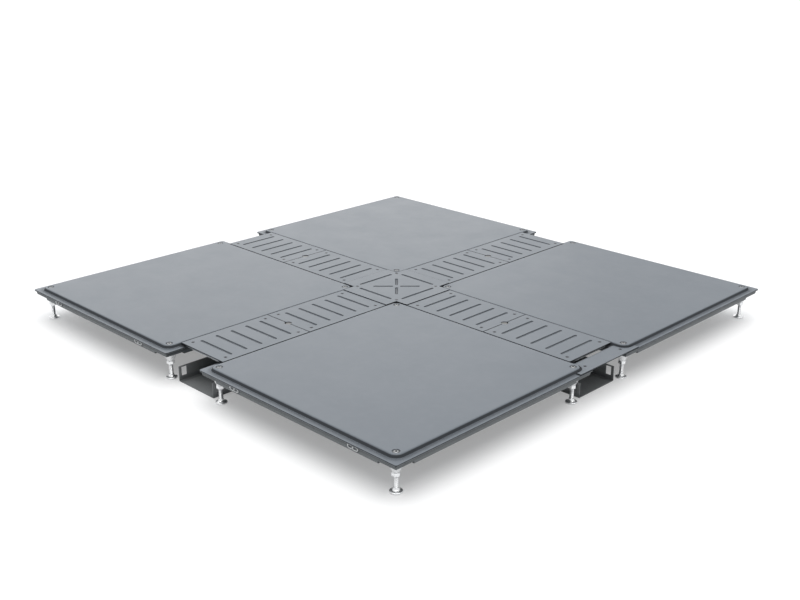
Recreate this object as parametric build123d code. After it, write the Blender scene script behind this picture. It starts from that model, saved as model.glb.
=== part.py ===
"""Low-profile raised access floor, two panels by two, with a cross-shaped cable trough.

Four cement-filled steel panels stand on threaded pedestals. The gaps between them hold
folded cable trays, closed by lift-out cover plates, a centre plate over the crossing and
a bridging strip at one open end.

Units are millimetres, +Z is up. The origin lies on the slab, under the middle of the
crossing. The cable troughs run along X and Y.
"""

from build123d import *
from math import atan, degrees, sqrt
import os

# Layout on the slab
module_pitch = 600.0          # centre to centre of neighbouring panels
panel_side = 496.0            # one panel, over its flange
floor_height = 70.0           # slab to walking surface
panel_depth = 20.0            # walking surface to underside of the pan

# Deck sheet: the pressed top skin of a panel
deck_sheet_t = 1.5
ledge_width = 10.0            # flat flange round the raised deck
flange_corner = 3.0           # clipped corners of the flange
step_run = 4.5                # how far the step leans outwards
step_drop = 5.5               # walking surface to ledge
deck_corner_r = 14.0
screw_seat_r = 6.5            # mouth of the countersunk corner hole

# Pan: the drawn bottom skin of a panel
pan_sheet_t = 1.2
pan_wall_inset = 3.0          # flange edge to the top of the pan wall
pan_wall_draft = 2.0          # how far the wall leans in, top to bottom
seat_gap = 2.0                # pedestal head to the inner walls of its corner seat
seat_rise = 4.0               # how far the seat stands above the underside
seat_hole_r = 4.5
pocket_count = 3              # stiffening pockets along one side
pocket_pitch = 138.0
pocket_mouth = 106.0
pocket_top = 80.0
pocket_height = 15.0

# Cement infill
infill_screw_gap = 5.0        # from a corner screw to the fill's cut corner
infill_wall_gap = 0.2

# Filler caps on the pan walls that face the front left
cap_length = 24.0
cap_height = 8.0
cap_depth = 1.6
cap_corner = 2.5
cap_offset = 150.0            # each side of the panel's middle
cap_gap = 0.4                 # below the lip of the pan

# Pedestals
turned_sides = 12
shank_sides = 8
pedestal_inset = 26.0         # flange edge to the pedestal axis
stud_r = 4.0
thread_gap = 0.1              # radial room between a stud and its thread
head_plate_r = 15.5
head_plate_t = 2.5
head_neck_top_r = 14.0
head_neck_end_r = 6.8
head_neck_length = 16.0
nut_flats = 13.0
nut_height = 6.5
foot_r = 11.0
foot_crown_r = 5.0            # top of the foot's slope, where the stud starts
foot_edge = 2.5
foot_height = 9.0
stud_engagement = 11.0         # stud inside the head when the floor is level
foot_travel_in = 3.0
stud_tip_gap = 0.5            # stud to corner screw with the foot right in

# Corner screws, countersunk, from the deck into the pedestal head
screw_sink = 0.5              # head below the walking surface
screw_cone_gap = 0.1

# Trough covers
cover_sheet_t = 2.0
cover_side_gap = 0.35         # between the cover's lower edge and the step
cover_end_gap = 1.0
covers_per_arm = 2
bead_count = 5
bead_pitch = 35.0
bead_margin = 17.0            # end of a bead to the cover's long edge
bead_width = 6.5
bead_floor_width = 2.0
bead_depth = 1.2
finger_hole_r = 7.0

# Angle frame screwed under each cover; its legs stand on the ledges
frame_sheet_t = 1.5
frame_bearing = 3.0           # leg's outer face, inwards from the flange edge onto the ledge
frame_web = 6.5
frame_end_inset = 1.5
frame_finger_gap = 22.0

# Centre plate over the crossing
centre_arm = 29.5             # how far an arm runs past the inner corner beside it
centre_rise = 1.0             # above the walking surface
centre_bead_setback = 31.0    # edge of the plate to the side bead
centre_screw_inset = 7.0      # flange edge to screw, onto the ledge
diagonal_bead_start = 7.0
diagonal_bead_share = 0.6     # its end, on the way from the middle to the corner screw

# Bridging strip at the +X end
strip_sheet_t = 2.0
strip_width = 37.0
strip_step_gap = 0.5
strip_tongue_reach = 28.0     # tongue end past the foot of the step
strip_cover_gap = 7.0         # outer cover to strip
strip_screw_setback = 17.0    # outer edge to screw
strip_screw_inset = 1.0       # flange edge of the trough to screw, onto the ledge
cover_screw_hole_r = 2.0

# Cable trays, folded channels that stand on the slab
tray_sheet_t = 1.2
tray_foot_gap = 13.5          # tray wall to the nearest pedestal foot
tray_height = 30.0
tray_setback = 26.0           # tray end behind the flange edge
tray_crossing_gap = 2.0
tray_window_length = 11.0
tray_window_height = 17.0
tray_window_sill = 10.0
tray_window_margin = 6.0

# Levels above the slab
deck_z = floor_height
ledge_z = deck_z - step_drop
flange_z = ledge_z - deck_sheet_t
pan_z = deck_z - panel_depth
seat_z = pan_z + seat_rise
cover_z = deck_z - cover_sheet_t

# Half widths of one panel, from its middle
half_panel = panel_side / 2
half_ledge = half_panel - ledge_width
half_deck = half_ledge - step_run
pedestal_reach = half_panel - pedestal_inset
seat_side = pedestal_inset + head_plate_r + seat_gap

# Places in plan, from the crossing
panel_reach = module_pitch / 2
flange_edge = panel_reach - half_panel
step_foot = flange_edge + ledge_width
outer_edge = panel_reach + half_panel
cover_half = step_foot + step_run * (cover_z - ledge_z) / step_drop - cover_side_gap
centre_reach = cover_half + centre_arm
cover_start = centre_reach + cover_end_gap
strip_start = outer_edge - strip_width
cover_run = strip_start - strip_cover_gap - cover_start
cover_length = (cover_run - (covers_per_arm - 1) * cover_end_gap) / covers_per_arm
bead_length = 2 * (cover_half - bead_margin)
tray_width = 2 * (panel_reach - pedestal_reach - foot_r - tray_foot_gap)

bore_r = stud_r + thread_gap
neck_end_z = seat_z - head_plate_t - head_neck_length
screw_tip_z = neck_end_z + stud_engagement + foot_travel_in + stud_tip_gap

panels = {"front": (1, -1), "right": (1, 1), "back": (-1, 1), "left": (-1, -1)}
arms = {"right_front": 0, "right_back": 90, "left_back": 180, "left_front": 270}


def prism(sketch, bottom, top):
    """Extrude a plan outline between two levels."""
    return Pos(0, 0, bottom) * extrude(sketch, amount=top - bottom)


def tapered(sketch, start, end, run):
    """Extrude a plan outline from one level to another, each side leaning in by the run."""
    height = abs(end - start)
    way = (0, 0, 1) if end > start else (0, 0, -1)
    lean = degrees(atan(run / height))
    return extrude(Pos(0, 0, start) * sketch, amount=height, dir=way, taper=lean)


def turned(radius):
    """Outline of a turned piece. Sixteen of each are made, so flats stand for the round."""
    return RegularPolygon(radius, turned_sides, major_radius=False)


def shank(radius):
    """Outline of a threaded shank or of the hole round it, with flats for the round."""
    return RegularPolygon(radius, shank_sides, major_radius=False)


def flange_plan():
    """Outline of the deck sheet's flange and of the pan's lip under it."""
    return chamfer(Rectangle(panel_side, panel_side).vertices(), flange_corner)


def corners(reach):
    """The four points at the same reach along both axes."""
    return [Pos(x, y) for x in (-reach, reach) for y in (-reach, reach)]


def joined(pieces):
    """Keep separate solids together as one node."""
    return Compound(children=list(pieces))


def bead(length, level):
    """Hip-ended groove along Y, cut down from the given level."""
    run = (bead_width - bead_floor_width) / 2

    def side_view(plane, mouth, depth):
        bed = mouth - 2 * run
        outline = Polygon(
            (-mouth / 2, 0), (mouth / 2, 0), (bed / 2, -bead_depth), (-bed / 2, -bead_depth),
            align=None,
        )
        return extrude(plane * outline, amount=depth / 2, both=True)

    across = side_view(Plane.XZ, bead_width, length)
    along = side_view(Plane.YZ, length, bead_width)
    return Pos(0, 0, level) * (across & along)


def press_beads(plate, places, top):
    """Press grooves into a sheet: each shows as a ridge of the same form below."""
    for place, length in places:
        plate += place * bead(length, top - cover_sheet_t)
    for place, length in places:
        plate -= place * bead(length, top)
    return plate


def deck_sheet():
    """Pressed top skin: raised deck, leaning step and flat ledge."""
    foot = RectangleRounded(2 * half_ledge, 2 * half_ledge, deck_corner_r + step_run)
    raised = tapered(foot, ledge_z, deck_z, step_run)
    flange = prism(flange_plan(), flange_z, ledge_z)
    sheet = flange + raised - Pos(0, 0, -deck_sheet_t) * raised
    countersink = tapered(shank(screw_seat_r), deck_z, deck_z - deck_sheet_t, deck_sheet_t)
    for corner in corners(pedestal_reach):
        sheet -= corner * countersink
    return sheet


def seat_blocks(clearance, top):
    """Blocks that carve the four corner seats, grown inwards by a clearance."""
    side = seat_side + clearance
    block = prism(Rectangle(side, side), pan_z - 1, top)
    return [place * block for place in corners(half_panel - side / 2)]


def pocket_places():
    """Middle of each stiffening pocket in a pan."""
    return GridLocations(pocket_pitch, pocket_pitch, pocket_count, pocket_count)


def pocket(bottom):
    """One pyramid-shaped pocket, from its mouth upwards."""
    run = (pocket_mouth - pocket_top) / 2
    return tapered(Rectangle(pocket_mouth, pocket_mouth), bottom, bottom + pocket_height, run)


def pan():
    """Drawn bottom skin: lip, leaning wall, corner seats and pockets."""
    t = pan_sheet_t
    wall_top = 2 * (half_panel - pan_wall_inset)
    lean = pan_wall_draft / (flange_z - pan_z)
    outside = tapered(Rectangle(wall_top, wall_top), flange_z, pan_z, pan_wall_draft)
    inner = Rectangle(wall_top - 2 * t, wall_top - 2 * t)
    inside = tapered(inner, flange_z, pan_z + t, lean * (flange_z - pan_z - t))
    for block in seat_blocks(0, seat_z):
        outside -= block
    for block in seat_blocks(t, seat_z + t):
        inside -= block
    lip = prism(flange_plan(), flange_z - t, flange_z)
    body = outside + lip - inside
    for place in pocket_places():
        body = body + place * pocket(pan_z + t) - place * pocket(pan_z)
    hole = prism(shank(seat_hole_r), seat_z, seat_z + t)
    for place in corners(pedestal_reach):
        body -= place * hole
    return body


def infill():
    """Cement cast between the two skins, round the pockets."""
    t = pan_sheet_t
    foot = half_panel - pan_wall_inset - pan_wall_draft - t - infill_wall_gap
    clear = (screw_seat_r + infill_screw_gap) * 2 ** 0.5
    plan = chamfer(Rectangle(2 * foot, 2 * foot).vertices(), 2 * (foot - pedestal_reach) + clear)
    lower = prism(plan, pan_z + t, flange_z)
    step = Rectangle(2 * half_ledge, 2 * half_ledge)
    raised = tapered(step, flange_z, deck_z - deck_sheet_t, step_run)
    upper = raised & prism(plan, flange_z, deck_z)
    core = lower + upper
    for block in seat_blocks(t, seat_z + t):
        core -= block
    for place in pocket_places():
        core -= place * pocket(pan_z + t)
    return core


def filler_cap():
    """Oval cap over a filling hole, flat against the leaning wall that faces -Y."""
    outline = chamfer(Rectangle(cap_length, cap_height).vertices(), cap_corner)
    wall_height = flange_z - pan_z
    drop = pan_sheet_t + cap_gap + cap_height / 2
    wall = half_panel - pan_wall_inset - pan_wall_draft * drop / wall_height
    lean = Plane(
        origin=(0, -wall, flange_z - drop),
        x_dir=(1, 0, 0),
        z_dir=(0, -wall_height, -pan_wall_draft),
    )
    return extrude(lean * outline, amount=cap_depth)


def pedestal_head():
    """Round head: bearing plate and tapered neck, threaded right through."""
    plate_z = seat_z - head_plate_t
    plate = prism(turned(head_plate_r), plate_z, seat_z)
    lean = head_neck_top_r - head_neck_end_r
    neck = tapered(turned(head_neck_top_r), plate_z, neck_end_z, lean)
    return plate + neck - prism(shank(bore_r), neck_end_z, seat_z)


def lock_nut():
    """Thin hexagon nut run up against the neck."""
    hexagon = RegularPolygon(nut_flats / 2, 6, major_radius=False)
    return prism(hexagon - shank(bore_r), neck_end_z - nut_height, neck_end_z)


def levelling_foot():
    """Round foot and its stud, one turned piece."""
    base = prism(turned(foot_r), 0, foot_edge)
    slope = tapered(turned(foot_r), foot_edge, foot_height, foot_r - foot_crown_r)
    stud = prism(shank(stud_r), foot_height, neck_end_z + stud_engagement)
    return base + slope + stud


def corner_screw():
    """Countersunk screw through a panel corner into the pedestal head."""
    head_r = screw_seat_r - screw_sink - screw_cone_gap
    head_z = deck_z - screw_sink
    cone_end = head_z - (head_r - stud_r)
    head = tapered(shank(head_r), head_z, cone_end, head_r - stud_r)
    return head + prism(shank(stud_r), screw_tip_z, cone_end)


def cover_plate(start):
    """Lift-out cover along +X, beads across it and half a finger hole at the joint."""
    middle = start + cover_length / 2
    joint = cover_start + cover_length + cover_end_gap / 2
    outline = Pos(middle, 0) * Rectangle(cover_length, 2 * cover_half)
    outline -= Pos(joint, 0) * Circle(finger_hole_r)
    plate = prism(outline, cover_z, deck_z)
    span = bead_pitch * (bead_count - 1)
    rows = [(Pos(middle - span / 2 + bead_pitch * i, 0), bead_length) for i in range(bead_count)]
    return press_beads(plate, rows, deck_z)


def angle_frame(outline, top, holes=()):
    """Folded angle round an outline: a web under the sheet and a leg down to the ledge."""
    inner_leg = offset(outline, -frame_sheet_t, kind=Kind.INTERSECTION)
    inner_web = offset(outline, -frame_web, kind=Kind.INTERSECTION)
    legs = prism(outline - inner_leg, ledge_z, top)
    web = prism(outline - inner_web, top - frame_sheet_t, top)
    frame = legs + web
    for hole in holes:
        frame -= hole
    return frame


def cover_frame(start):
    """Angle frame screwed under one cover, open at the finger hole."""
    middle = start + cover_length / 2
    joint = cover_start + cover_length + cover_end_gap / 2
    half = flange_edge + frame_bearing
    outline = Pos(middle, 0) * Rectangle(cover_length - 2 * frame_end_inset, 2 * half)
    gap = Pos(joint, 0) * Rectangle(4 * finger_hole_r, frame_finger_gap)
    return angle_frame(outline, cover_z, [prism(gap, ledge_z, cover_z)])


def cross(reach, half_width):
    """Plus-shaped outline."""
    return Rectangle(2 * reach, 2 * half_width) + Rectangle(2 * half_width, 2 * reach)


def centre_plate():
    """Plus-shaped plate over the crossing, beads round a square and along its diagonals."""
    top = deck_z + centre_rise
    plate = prism(cross(centre_reach, cover_half), top - cover_sheet_t, top)
    screw_reach = flange_edge + centre_screw_inset
    diagonal_bead_end = diagonal_bead_share * sqrt(2) * screw_reach
    length = diagonal_bead_end - diagonal_bead_start
    middle = (diagonal_bead_end + diagonal_bead_start) / 2
    rows = []
    for turn in range(4):
        rows.append((Rot(0, 0, 90 * turn) * Pos(centre_reach - centre_bead_setback, 0), bead_length))
        rows.append((Rot(0, 0, 90 * turn + 45) * Pos(middle, 0) * Rot(0, 0, 90), length))
    plate = press_beads(plate, rows, top)
    hole = prism(shank(cover_screw_hole_r), top - cover_sheet_t, top)
    for corner in corners(screw_reach):
        plate -= corner * hole
    return plate


def centre_frame():
    """Angle frame under the centre plate, standing on the four flange corners."""
    outline = cross(centre_reach - frame_end_inset, flange_edge + frame_bearing)
    return angle_frame(outline, deck_z + centre_rise - cover_sheet_t)


def bridging_strip():
    """Strip across the open trough end, notched round the two deck corners."""
    half = step_foot - strip_step_gap
    tongue_end = step_foot + strip_tongue_reach
    wall = panel_reach + half_ledge
    base_r = deck_corner_r + step_run
    plan = Rectangle(strip_width, 2 * tongue_end, align=(Align.MIN, Align.CENTER))
    plan = Pos(strip_start, 0) * plan
    notch_length = wall + strip_step_gap - strip_start
    for side in (-1, 1):
        depth = tongue_end - half
        notch = Rectangle(2 * notch_length, 2 * depth)
        notch = fillet(notch.vertices(), base_r + strip_step_gap)
        plan -= Pos(strip_start, side * (half + depth)) * notch
    strip = prism(plan, ledge_z, ledge_z + strip_sheet_t)
    hole = prism(shank(cover_screw_hole_r), ledge_z, ledge_z + strip_sheet_t)
    for side in (-1, 1):
        y = side * (flange_edge + strip_screw_inset + cover_screw_hole_r)
        strip -= Pos(outer_edge - strip_screw_setback, y) * hole
    return strip


def cable_tray():
    """Folded channel along +X, a window in each wall near both ends."""
    start = tray_width / 2 + tray_crossing_gap
    end = outer_edge - tray_setback
    length = end - start
    half = tray_width / 2
    t = tray_sheet_t
    section = Rectangle(tray_width, tray_height, align=(Align.CENTER, Align.MIN))
    section -= Pos(0, t) * Rectangle(
        tray_width - 2 * t, tray_height, align=(Align.CENTER, Align.MIN)
    )
    channel = extrude(Plane.YZ.offset(start) * section, amount=length)
    window = Box(
        tray_window_length,
        2 * half + 2,
        tray_window_height,
        align=(Align.MIN, Align.CENTER, Align.MIN),
    )
    for x in (start + tray_window_margin, end - tray_window_margin - tray_window_length):
        channel -= Pos(x, 0, tray_window_sill) * window
    return channel


def save(name, shape):
    """Write one node, with one solid or a group of them."""
    export_step(shape, f"parts/{name}.step")


os.makedirs("parts", exist_ok=True)

deck, tub, core = deck_sheet(), pan(), infill()
cap, head, nut = filler_cap(), pedestal_head(), lock_nut()
foot, screw = levelling_foot(), corner_screw()
heads, nuts, screws, caps = [], [], [], []
for panel, (sx, sy) in panels.items():
    place = Pos(sx * panel_reach, sy * panel_reach)
    save(f"deck_sheet_{panel}", place * deck)
    save(f"pan_{panel}", place * tub)
    save(f"infill_{panel}", place * core)
    panel_heads = []
    for number, corner in enumerate(corners(pedestal_reach), start=1):
        panel_heads.append(place * corner * head)
        nuts.append(place * corner * nut)
        screws.append(place * corner * screw)
        save(f"foot_{panel}_{number}", place * corner * foot)
    save(f"pedestal_heads_{panel}", joined(panel_heads))
    caps += [place * Pos(x, 0) * cap for x in (-cap_offset, cap_offset)]
save("lock_nuts", joined(nuts))
save("corner_screws", joined(screws))
save("filler_caps", joined(caps))

rows = {"inner": 0, "outer": 1}
tray = cable_tray()
for arm, angle in arms.items():
    turn = Rot(0, 0, angle)
    for row, number in rows.items():
        start = cover_start + number * (cover_length + cover_end_gap)
        save(f"cover_{arm}_{row}", turn * cover_plate(start))
        save(f"cover_frame_{arm}_{row}", turn * cover_frame(start))
    save(f"cable_tray_{arm}", turn * tray)
save("centre_plate", centre_plate())
save("centre_frame", centre_frame())
save("bridging_strip", bridging_strip())
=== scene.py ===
"""Looks, light and camera for a low-profile raised floor, two panels by two.

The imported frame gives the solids. Each class below builds the finished pieces of one
sub-assembly, in millimetres, and sets them where the frame has them.
"""

import logging
import math
from dataclasses import dataclass
from enum import Enum
from functools import cache
from typing import Callable, Iterable

import bmesh
import bpy
from bpy.types import ID, Material, Mesh, Node, NodeSocket as Socket, NodeTree, Object
from mathutils import Matrix, Vector


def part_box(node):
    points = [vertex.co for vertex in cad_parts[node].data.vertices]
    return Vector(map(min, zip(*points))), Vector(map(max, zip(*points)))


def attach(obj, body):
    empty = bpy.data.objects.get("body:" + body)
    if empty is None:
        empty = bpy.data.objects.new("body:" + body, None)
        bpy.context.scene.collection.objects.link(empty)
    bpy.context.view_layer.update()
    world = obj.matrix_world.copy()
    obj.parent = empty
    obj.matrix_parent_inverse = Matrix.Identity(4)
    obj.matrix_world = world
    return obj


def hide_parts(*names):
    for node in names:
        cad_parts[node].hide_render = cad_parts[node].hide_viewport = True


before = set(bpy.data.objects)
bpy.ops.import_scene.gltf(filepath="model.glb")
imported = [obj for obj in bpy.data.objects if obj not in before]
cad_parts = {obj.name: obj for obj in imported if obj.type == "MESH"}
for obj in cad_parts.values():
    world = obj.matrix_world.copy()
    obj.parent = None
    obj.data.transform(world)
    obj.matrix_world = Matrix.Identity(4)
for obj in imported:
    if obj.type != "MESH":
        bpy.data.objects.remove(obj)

log = logging.getLogger("raised_floor")

Point = tuple[float, float]
Triple = tuple[float, float, float]
Shape = Callable[[float], list[Point]]
Profile = Iterable[Point]
Section = tuple[Point, ...]
Loop = list[bmesh.types.BMVert]

MM = 0.001
ROOT = "root"
SIGNS = (-1, 1)
WHITE = (1.0, 1.0, 1.0, 1.0)

# Sizes that several pieces share, in millimetres.
STEP_DROP = 5.5
STEP_RUN = 4.5
LEDGE_WIDTH = 10.0
DECK_CORNER_R = 14.0
DECK_SHEET_T = 1.5
COVER_SHEET_T = 2.0
STUD_R = 4.0
BORE_R = 4.1

# The least corner radius, the gap that is welded shut, and the largest face that shades
# smooth on a softened solid, in millimetres and square millimetres.
LEAST_R = 0.05
WELD_GAP = 0.002
SMOOTH_AREA = 40.0

# Bends in degrees: more than CORNER shades as a corner, more than FOLD is rounded, and less
# than FLAT is no edge at all.
CORNER_BEND = 38.0
FOLD_BEND = 25.0
FLAT_BEND = 1.0


class Named(Enum):
    """A choice whose name is part of the nodes' names."""

    @property
    def label(self) -> str:
        """The name as the nodes spell it."""
        return self.name.lower()


class Panel(Named):
    """The four panels, each with the signs of its X and Y."""

    FRONT = (1, -1)
    RIGHT = (1, 1)
    BACK = (-1, 1)
    LEFT = (-1, -1)


class Arm(Named):
    """The four trough arms, each with its turn about Z in degrees."""

    RIGHT_FRONT = 0
    RIGHT_BACK = 90
    LEFT_BACK = 180
    LEFT_FRONT = 270


class Row(Named):
    """The two covers of one arm, counted out from the crossing."""

    INNER = 0
    OUTER = 1


class Slot(Enum):
    """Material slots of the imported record."""

    FLOOR = "floor_enamel"
    COVER = "cover_enamel"
    GALVANISED = "galvanised_sheet"
    TRAY = "tray_steel"
    ZINC = "zinc_plate"
    SCREW = "bright_screw"
    CAP = "cap_plastic"


def node_box(node: str) -> tuple[list[float], list[float]]:
    """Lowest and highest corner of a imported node, in millimetres."""
    low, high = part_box(node)
    return [round(v / MM, 3) for v in low], [round(v / MM, 3) for v in high]


def four(x: float, y: float) -> list[Point]:
    """The four points at these distances from the axes."""
    return [(i * x, j * y) for i in SIGNS for j in SIGNS]


@dataclass(frozen=True)
class Layout:
    """Levels and places that several sub-assemblies share, in millimetres.

    The levels and edges are read off the frame, so the pieces follow the solids.
    """

    deck_z: float
    ledge_z: float
    flange_z: float
    seat_z: float
    outer_edge: float
    half_panel: float
    panel_reach: float
    pedestal_reach: float
    stud_top: float
    cover_half: float
    cover_start: float
    cover_length: float
    centre_reach: float

    @property
    def flange_edge(self) -> float:
        """Distance from a trough's axis to the edge of the panels beside it."""
        return self.panel_reach - self.half_panel

    def panel_corners(self) -> list[Point]:
        """Pedestal axes of one panel, from its middle, in the order of the foot nodes."""
        return four(self.pedestal_reach, self.pedestal_reach)

    def middle(self, panel: Panel) -> Point:
        """Middle of a panel in plan."""
        return panel.value[0] * self.panel_reach, panel.value[1] * self.panel_reach

    @classmethod
    def from_frame(cls) -> "Layout":
        """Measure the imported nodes.

        Returns:
            Layout: The shared levels and places.
        """
        low, high = node_box("deck_sheet_front")
        inner_low, inner_high = node_box("cover_right_front_inner")
        foot_low, foot_high = node_box("foot_front_1")
        reach = (low[0] + high[0]) / 2
        half = (high[0] - low[0]) / 2
        return cls(
            deck_z=high[2],
            ledge_z=high[2] - STEP_DROP,
            flange_z=low[2],
            seat_z=node_box("pedestal_heads_front")[1][2],
            outer_edge=high[0],
            half_panel=half,
            panel_reach=reach,
            pedestal_reach=reach - (foot_low[0] + foot_high[0]) / 2,
            stud_top=foot_high[2],
            cover_half=inner_high[1],
            cover_start=inner_low[0],
            cover_length=inner_high[0] - inner_low[0],
            centre_reach=node_box("centre_plate")[1][0],
        )


def arc(centre: Point, radius: float, start: float, end: float, steps: int) -> list[Point]:
    """Points along a circular arc.

    Args:
        centre: Middle of the arc.
        radius: Its radius.
        start: First angle in degrees.
        end: Last angle in degrees.
        steps: Number of spans.

    Returns:
        list[Point]: The points, both ends among them.
    """
    points = []
    for i in range(steps + 1):
        angle = math.radians(start + (end - start) * i / steps)
        points.append((centre[0] + radius * math.cos(angle), centre[1] + radius * math.sin(angle)))
    return points


def turn(point: Point, degrees: float) -> Point:
    """Turn a point about the origin."""
    (x, y), angle = point, math.radians(degrees)
    return x * math.cos(angle) - y * math.sin(angle), x * math.sin(angle) + y * math.cos(angle)


def circle(radius: float, steps: int = 32, at: Point = (0.0, 0.0)) -> Shape:
    """Round outline about a point, which shrinks with its inset."""
    return lambda inset: arc(at, radius - inset, 0, 360, steps)[:-1]


def hexagon(flats: float) -> Shape:
    """Six-sided outline, given its width across flats."""
    return lambda inset: circle((flats / 2 - inset) / math.cos(math.pi / 6), 6)(0.0)


def slot_shape(length: float, width: float, angle: float = 0.0, at: Point = (0.0, 0.0)) -> Shape:
    """Long outline with round ends.

    Args:
        length: End to end.
        width: Across the slot.
        angle: Direction of its length, in degrees from X.
        at: Middle of the slot.

    Returns:
        Shape: The outline for any inset.
    """
    about, end_steps = Matrix.Rotation(math.radians(angle), 2), 8

    def outline(inset: float) -> list[Point]:
        """The slot's outline at one inset."""
        r = width / 2 - inset
        half = length / 2 - width / 2
        ends = arc((half, 0), r, -90, 90, end_steps) + arc((-half, 0), r, 90, 270, end_steps)
        turned = [about @ Vector(p) for p in ends]
        return [(p.x + at[0], p.y + at[1]) for p in turned]

    return outline


def cross_shape(reach: float, half: float, corner: float = 0.0) -> Shape:
    """Plus-shaped outline.

    Args:
        reach: Middle to the end of an arm.
        half: Half the width of an arm.
        corner: Radius of the arms' outer corners.

    Returns:
        Shape: The outline for any inset.
    """

    def outline(inset: float) -> list[Point]:
        """The plus's outline at one inset."""
        r, h = reach - inset, half - inset
        arm = [(r, -h), (r, h)]
        if corner > 0:
            c = max(corner - inset, LEAST_R)
            arm = arc((r - c, -h + c), c, -90, 0, 4) + arc((r - c, h - c), c, 0, 90, 4)
        arm.append((h, h))
        return [turn(point, 90 * quarter) for quarter in range(4) for point in arm]

    return outline


def round_off(points: list[Point], radii: Iterable[float], steps: int = 5) -> list[Point]:
    """Round the inner corners of an open line.

    Args:
        points: The line's corners.
        radii: Length of line that each corner gives up on either side.
        steps: Spans in each rounding.

    Returns:
        list[Point]: The rounded line.
    """
    out = [points[0]]
    for before, here, after, reach in zip(points, points[1:], points[2:], radii):
        p, q, s = Vector(before), Vector(here), Vector(after)
        a = q + (p - q).normalized() * reach
        b = q + (s - q).normalized() * reach
        for i in range(steps + 1):
            t = i / steps
            mixed = a * (1 - t) ** 2 + q * 2 * t * (1 - t) + b * t ** 2
            out.append((mixed.x, mixed.y))
    out.append(points[-1])
    return out


class MeshMaker:
    """Collects faces in millimetres and turns them into one object in metres."""

    def __init__(self) -> None:
        """Start with nothing."""
        self.mesh = bmesh.new()

    def ring(self, points: Iterable[Point], z: float) -> Loop:
        """Add a loop of corners at one level."""
        return [self.mesh.verts.new((x, y, z)) for x, y in points]

    def bridge(self, low: Loop, high: Loop) -> None:
        """Join two loops that have as many corners, with smooth faces."""
        for i in range(len(low)):
            j = (i + 1) % len(low)
            self.mesh.faces.new((low[i], low[j], high[j], high[i])).smooth = True

    def cap(self, ring: Loop) -> None:
        """Close a loop with one flat face."""
        self.mesh.faces.new(ring).smooth = False

    def fill(self, rings: list[Loop]) -> list[bmesh.types.BMFace]:
        """Fill the flat area inside the first loop and outside the others.

        Args:
            rings: The outer loop, then the holes.

        Returns:
            list[bmesh.types.BMFace]: The faces made.
        """
        edges = []
        for ring in rings:
            for a, b in zip(ring, ring[1:] + ring[:1]):
                edges.append(self.mesh.edges.get((a, b)) or self.mesh.edges.new((a, b)))
        made = bmesh.ops.triangle_fill(
            self.mesh, use_beauty=True, use_dissolve=False, edges=edges, normal=(0, 0, 1)
        )
        faces = [item for item in made["geom"] if isinstance(item, bmesh.types.BMFace)]
        for face in faces:
            face.smooth = False
        return faces

    def loft(self, shape: Shape, profile: Profile) -> list[Loop]:
        """Carry an outline along a profile of inset and level.

        Args:
            shape: The outline.
            profile: Pairs of inset and level.

        Returns:
            list[Loop]: The loops made, first to last.
        """
        rings = [self.ring(shape(inset), z) for inset, z in profile]
        for low, high in zip(rings, rings[1:]):
            self.bridge(low, high)
        return rings

    def socketed(self, body: tuple[Shape, Profile], socket: tuple[Shape, Profile]) -> None:
        """Build a closed body with a blind socket in its upper end.

        Args:
            body: Its outline, and its profile from the top down.
            socket: The socket's outline and profile.
        """
        outer, inner = self.loft(*body), self.loft(*socket)
        self.fill([outer[0], inner[0]])
        self.cap(outer[-1])
        self.cap(inner[-1])

    def turned(self, profile: list[Point]) -> None:
        """Turn a closed profile about the upright axis.

        Args:
            profile: Pairs of radius and level. A radius of nought closes the end.
        """
        rings = self.loft(circle(0.0), [(-r, z) for r, z in profile if r > 0])
        first_open, last_open = profile[0][0] > 0, profile[-1][0] > 0
        if not first_open:
            self.cap(rings[0])
        if not last_open:
            self.cap(rings[-1])
        if first_open and last_open:
            self.bridge(rings[-1], rings[0])

    def piece(self, name: str) -> Object:
        """Turn the faces into an object at the origin and let go of them.

        Args:
            name: Name of the object.

        Returns:
            Object: The new object.
        """
        bmesh.ops.recalc_face_normals(self.mesh, faces=self.mesh.faces)
        for edge in bent_edges(self.mesh, CORNER_BEND):
            edge.smooth = False
        self.mesh.transform(Matrix.Scale(MM, 4))
        data = bpy.data.meshes.new(name)
        self.mesh.to_mesh(data)
        self.mesh.free()
        return placed(name, data)

    def shared(self, name: str) -> Mesh:
        """Turn the faces into a mesh that several objects share."""
        obj = self.piece(name)
        data = obj.data
        bpy.data.objects.remove(obj)
        return data


def bent_edges(mesh: bmesh.types.BMesh, degrees: float) -> list[bmesh.types.BMEdge]:
    """Edges between two faces that bend by more than an angle."""
    limit = math.radians(degrees)
    return [e for e in mesh.edges if len(e.link_faces) == 2 and e.calc_face_angle(0.0) > limit]


def placed(name: str, data: ID, at: Point = (0.0, 0.0)) -> Object:
    """Set a mesh, lamp or camera in the scene, at a place in plan in millimetres."""
    obj = bpy.data.objects.new(name, data)
    bpy.context.scene.collection.objects.link(obj)
    obj.location = (at[0] * MM, at[1] * MM, 0.0)
    return obj


def at_level(section: Profile, level: float) -> list[Point]:
    """Pairs of inset and rise, turned into pairs of inset and level."""
    return [(inset, level + rise) for inset, rise in section]


def sheet_edge(top: float, bottom: float, edge: float) -> list[Point]:
    """Profile of a sheet's edge, rounded above and below."""
    line = [(edge * 2, top), (0.0, top), (0.0, bottom), (edge * 2, bottom)]
    return round_off(line, [edge, edge], 3)[1:-1]


@dataclass(frozen=True)
class Cut:
    """A shape pressed into a sheet, or cut through it.

    Attributes:
        shape: Outline at the sheet's upper face, with no inset.
        profile: Pairs of inset and level, from the upper face down.
        below: Profile of the ridge under a pressing, from the lower face down. A hole has none.
    """

    shape: Shape
    profile: Profile
    below: Profile = ()


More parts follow.
